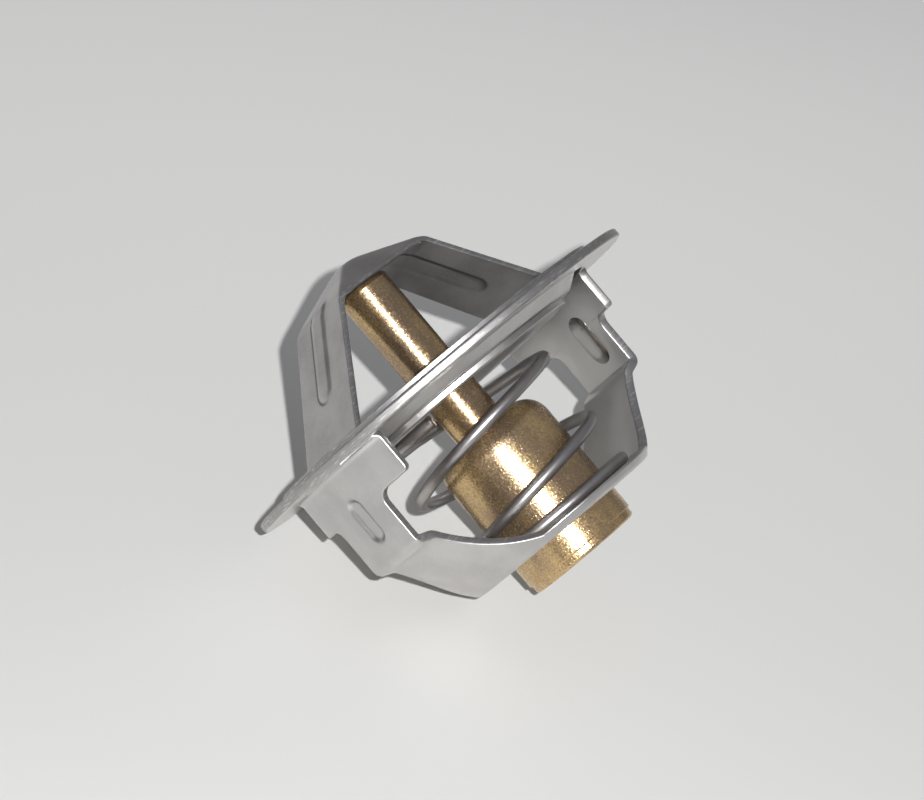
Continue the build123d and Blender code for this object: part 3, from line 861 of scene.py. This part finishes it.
class VALVE_OT_spring(bpy.types.Operator):
    """Conical spring with closed ends"""
    bl_idname = "valve.spring"
    bl_label = "Spring"

    def execute(self, context):
        sizes = context.scene.valve_spring
        turns = sizes.top_turns + sizes.open_turns + sizes.bottom_turns
        end = 2e-4      # turns between a wire's flat end and its next loop, which keeps it crisp
        at = np.concatenate([[0], np.linspace(end, turns - end, WIRE_ROWS), [turns]])
        line = self.centre_line(sizes, at, turns)
        tangent = unit(np.gradient(line, axis=0))
        outward = unit(np.cross(tangent, (0, 0, 1)))
        upward = np.cross(outward, tangent)
        around = np.linspace(0, 2 * math.pi, WIRE_SIDES, endpoint=False)[:, None]
        tube = line[:, None] + sizes.wire * (outward[:, None] * np.cos(around)
                                             + upward[:, None] * np.sin(around))
        shell = (tube.reshape(-1, 3), capped_faces(*tube.shape[:2]),
                 np.zeros((tube.size // 3, len(MARKS))))
        finishes = context.scene.valve_finishes
        material = steel("Spring Wire", finishes.wire, finishes.roof_stain, 0.30, flecks=0.3)
        spring = piece("spring", shell, material, "housing", "main_spring")
        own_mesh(spring)
        return {"FINISHED"}

    @staticmethod
    def centre_line(sizes, at, turns):
        """Centre line of the wire after so many turns from its upper end.

        The radius narrows evenly. The height falls only in the open turns, as the share of them
        less ease * sin(2 pi share) / (2 pi). The angle runs backwards, so the coil is right-handed.
        """
        part = np.clip((at - sizes.top_turns) / sizes.open_turns, 0, 1)
        eased = part - sizes.ease * np.sin(2 * math.pi * part) / (2 * math.pi)
        radius = sizes.top_radius + (sizes.bottom_radius - sizes.top_radius) * at / turns
        angle = sizes.start - 2 * math.pi * at
        height = -sizes.top + (sizes.top - sizes.bottom) * eased
        return np.stack([radius * np.cos(angle), radius * np.sin(angle), height], axis=-1)


class VALVE_OT_element(bpy.types.Operator):
    """Brass guide and the brass case of the wax element"""
    bl_idname = "valve.element"
    bl_label = "Brass Element"

    def execute(self, context):
        sizes = context.scene.valve_parts
        steps = context.scene.valve_stage.rings
        finishes = context.scene.valve_finishes
        inside = -sizes.case_top - 1.2 * MM      # both pieces end here, hidden in the case
        hidden_round, bore_round = 0.1 * MM, 0.3 * MM
        guide = closed_outline([(sizes.guide_radius, inside), (sizes.guide_radius, sizes.guide_top),
                                (sizes.guide_bore, sizes.guide_top), (sizes.guide_bore, inside)],
                               [hidden_round, sizes.guide_round, bore_round, hidden_round])
        neck = sizes.guide_radius + TINY
        shoulder, step = -sizes.case_top, -sizes.case_bottom + sizes.case_step_height
        small = sizes.case_radius - sizes.case_step
        floor_round, neck_round = 0.05 * MM, 0.15 * MM
        step_round, groove_round = 0.12 * MM, 0.06 * MM
        case = rounded([(0, inside), (neck, inside), (neck, shoulder),
                        (sizes.case_radius, shoulder), (sizes.case_radius, step), (small, step),
                        (small, -sizes.case_bottom), (0, -sizes.case_bottom)],
                       [floor_round, neck_round, sizes.case_shoulder, step_round, groove_round,
                        sizes.case_round], steps=12)
        tone = {"Tone": (*finishes.brass, 1), "Tarnish": (*finishes.brass_tarnish, 1)}
        stem = finish("Guide Brass", "Brass Finish", {**tone, "Roughness": 0.05, "Rings": 1.6},
                      metal=0.90, bump=0.42, depth=0.03)
        cup = finish("Case Brass", "Brass Finish", {**tone, "Roughness": 0.08, "Rings": 0.4},
                     metal=0.84, bump=0.62, depth=0.04)
        piece("guide", ring_shell(guide, steps), stem, "valve", "piston_guide")
        piece("case", ring_shell(case, steps, closed=False), cup, "valve", "element_case")
        return {"FINISHED"}


class VALVE_OT_inner_pieces(bpy.types.Operator):
    """Finishes of the piston and of the pieces inside the element"""
    bl_idname = "valve.inner_pieces"
    bl_label = "Inner Pieces"

    def execute(self, context):
        finishes = context.scene.valve_finishes
        rod = steel("Piston Steel", finishes.steel, finishes.steel, 0.12, flecks=0.2)
        made = {"piston": rod}
        for node, name, tone, roughness in (
                ("backup_disc", "Backing Plastic", finishes.plastic, 0.45),
                ("rubber_plug", "Plug Rubber", finishes.rubber, 0.6),
                ("diaphragm", "Diaphragm Rubber", finishes.rubber, 0.55),
                ("wax_charge", "Wax", finishes.wax, 0.5),
                ("sealing_fluid", "Soft Filling", finishes.fluid, 0.35)):
            made[node] = finish(name, "Plain Finish", {"Tone": (*tone, 1), "Roughness": roughness},
                                metal=0.0, bump=0.2)
        for node, material in made.items():
            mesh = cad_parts[node].data
            mesh.materials.clear()
            mesh.materials.append(material)
        return {"FINISHED"}


class VALVE_OT_stage(bpy.types.Operator):
    """Table, lamps, room and camera"""
    bl_idname = "valve.stage"
    bl_label = "Stage"

    def execute(self, context):
        sizes = context.scene.valve_stage
        azimuth, tilt = sizes.azimuth, sizes.elevation
        back = Vector((math.sin(azimuth) * math.cos(tilt), -math.cos(azimuth) * math.cos(tilt),
                       math.sin(tilt)))
        level = Vector((math.cos(azimuth), math.sin(azimuth), 0))
        upright = back.cross(level)
        right = level * math.cos(sizes.roll) - upright * math.sin(sizes.roll)
        up = upright * math.cos(sizes.roll) + level * math.sin(sizes.roll)
        place = (back * sizes.distance - level * sizes.shift_right - upright * sizes.shift_up
                 - Vector((0, 0, sizes.aim_depth)))
        self.camera(context, place, right, up, back, sizes.lens)
        near = Vector((back.x, back.y, 0)).normalized()
        side = near * math.cos(sizes.table_turn) + level * math.sin(sizes.table_turn)
        normal = (side * math.cos(sizes.table_tilt)
                  + Vector((0, 0, 1)) * math.sin(sizes.table_tilt)).normalized()
        # The table's painted light grows in this direction.
        self.table(context, normal, sizes.table_gap, (up + right * 0.15).normalized())
        lamp_place = place + right * sizes.lamp_right + up * sizes.lamp_up
        self.lamp(context, "Small Lamp", lamp_place, sizes.lamp_power, sizes.lamp_size)
        self.room(context, sizes, normal)
        context.scene.view_settings.view_transform = "Standard"
        return {"FINISHED"}

    @staticmethod
    def camera(context, place, right, up, back, lens):
        """Camera at a place, with its own three directions."""
        data = bpy.data.cameras.new("Camera")
        data.lens = lens
        data.sensor_width = 36
        data.clip_start = 0.01
        data.clip_end = 20
        made = bpy.data.objects.new("Camera", data)
        turn = Matrix((right, up, back)).transposed()
        made.matrix_world = Matrix.Translation(place) @ turn.to_4x4()
        context.scene.collection.objects.link(made)
        context.scene.camera = made

    @staticmethod
    def lamp(context, name, place, power, size):
        """A small round lamp that faces the valve."""
        data = bpy.data.lights.new(name, "AREA")
        data.shape = "DISK"
        data.size = size
        data.energy = power
        made = bpy.data.objects.new(name, data)
        turn = place.to_track_quat("Z", "Y").to_matrix().to_4x4()
        made.matrix_world = Matrix.Translation(place) @ turn
        context.scene.collection.objects.link(made)

    @staticmethod
    def table(context, normal, gap, far):
        """Pale flat table, clear from its under side, so that the valve shows from below too.

        Its colour grows paler with distance, as painted light, where the camera and the metal also
        see a faint glow on it, painted light as well.
        """
        reach = 3.0
        first = normal.orthogonal().normalized()
        second = normal.cross(first)
        corners = [-normal * gap + first * a * reach + second * b * reach
                   for a, b in ((-1, -1), (1, -1), (1, 1), (-1, 1))]
        mesh = bpy.data.meshes.new("Table")
        mesh.from_pydata([tuple(corner) for corner in corners], [], [(0, 1, 2, 3)])
        material = bpy.data.materials.new("Table")
        material.use_nodes = True
        tree = material.node_tree
        shader = tree.nodes["Principled BSDF"]
        shader.inputs["Roughness"].default_value = 0.42
        shader.inputs["Specular IOR Level"].default_value = 0.35
        finishes = context.scene.valve_finishes
        path = add(tree, "ShaderNodeLightPath").outputs
        fade = 60 * MM
        # Painted light: the tone pales towards the far side, and camera and glossy rays see a glow
        # on it.
        pale = ramp(tree, distance_along(tree, "Object", far), -fade, fade)
        tone = blend(tree, pale, (*finishes.table, 1), (*finishes.table_lit_end, 1))
        tree.links.new(tone, shader.inputs["Base Color"])
        seen = maths(tree, "MAXIMUM", path["Is Camera Ray"], path["Is Glossy Ray"])
        glow = maths(tree, "MULTIPLY", pale, 0.13)
        tree.links.new(maths(tree, "MULTIPLY", glow, seen), shader.inputs["Emission Strength"])
        shader.inputs["Emission Color"].default_value = (1, 1, 1, 1)
        clear = add(tree, "ShaderNodeBsdfTransparent")
        side = add(tree, "ShaderNodeNewGeometry")
        mix = add(tree, "ShaderNodeMixShader")
        tree.links.new(side.outputs["Backfacing"], mix.inputs["Fac"])
        tree.links.new(shader.outputs["BSDF"], mix.inputs[1])
        tree.links.new(clear.outputs["BSDF"], mix.inputs[2])
        tree.links.new(mix.outputs["Shader"], tree.nodes["Material Output"].inputs["Surface"])
        mesh.materials.append(material)
        made = bpy.data.objects.new("Table", mesh)
        context.scene.collection.objects.link(made)
        made.visible_shadow = False

    @staticmethod
    def room(context, sizes, normal):
        """Dim room, paler where the camera looks past the table, with a pale ceiling for the metal.

        It is warm below the table and cool above it.
        """
        world = bpy.data.worlds.new("Room")
        world.use_nodes = True
        tree = world.node_tree
        background = tree.nodes["Background"]
        height = distance_along(tree, "Generated", normal)
        warm, cool = (1.25, 1.22, 1.18, 1), (0.72, 0.74, 0.80, 1)
        tint = blend(tree, ramp(tree, height, -0.2, 0.9), warm, cool)
        pale = maths(tree, "MULTIPLY", ramp(tree, height, 0.1, 0.9), sizes.window)
        path = add(tree, "ShaderNodeLightPath").outputs
        mirrored = maths(tree, "MULTIPLY", pale, path["Is Glossy Ray"])
        backdrop = maths(tree, "MULTIPLY", path["Is Camera Ray"], sizes.backdrop - sizes.room)
        level = maths(tree, "ADD", maths(tree, "ADD", mirrored, backdrop), sizes.room)
        tree.links.new(tint, background.inputs["Color"])
        tree.links.new(level, background.inputs["Strength"])
        context.scene.world = world


class VALVE_PT_panel(bpy.types.Panel):
    """Buttons and sizes of the valve"""
    bl_idname = "VALVE_PT_panel"
    bl_label = "Coolant Valve"
    bl_space_type = "VIEW_3D"
    bl_region_type = "UI"
    bl_category = "Valve"

    def draw(self, context):
        for operator in OPERATORS:
            self.layout.operator(operator.bl_idname)
        for name in SETTINGS:
            box = self.layout.box()
            group = getattr(context.scene, name)
            box.label(text=group.bl_rna.name)
            for key in group.__annotations__:
                box.prop(group, key)


OPERATORS = (VALVE_OT_flange_frame, VALVE_OT_upper_arch, VALVE_OT_seat_and_disc, VALVE_OT_spring,
             VALVE_OT_element, VALVE_OT_inner_pieces, VALVE_OT_stage)
SETTINGS = {"valve_frame": FrameSizes, "valve_arch": ArchSizes, "valve_parts": ValveSizes,
            "valve_spring": SpringSizes, "valve_finishes": Finishes, "valve_stage": StageSizes}


def register():
    """Makes the settings, operators and panel known to Blender."""
    for kind in (*SETTINGS.values(), *OPERATORS, VALVE_PT_panel):
        bpy.utils.register_class(kind)
    for name, kind in SETTINGS.items():
        setattr(bpy.types.Scene, name, PointerProperty(type=kind))


def unregister():
    """Takes them away again."""
    for name in SETTINGS:
        delattr(bpy.types.Scene, name)
    for kind in reversed((*SETTINGS.values(), *OPERATORS, VALVE_PT_panel)):
        bpy.utils.unregister_class(kind)


def main():
    """Builds every piece and the stage."""
    register()
    bpy.ops.valve.flange_frame()
    bpy.ops.valve.upper_arch()
    bpy.ops.valve.seat_and_disc()
    bpy.ops.valve.spring()
    bpy.ops.valve.element()
    bpy.ops.valve.inner_pieces()
    bpy.ops.valve.stage()


if __name__ == "__main__":
    main()
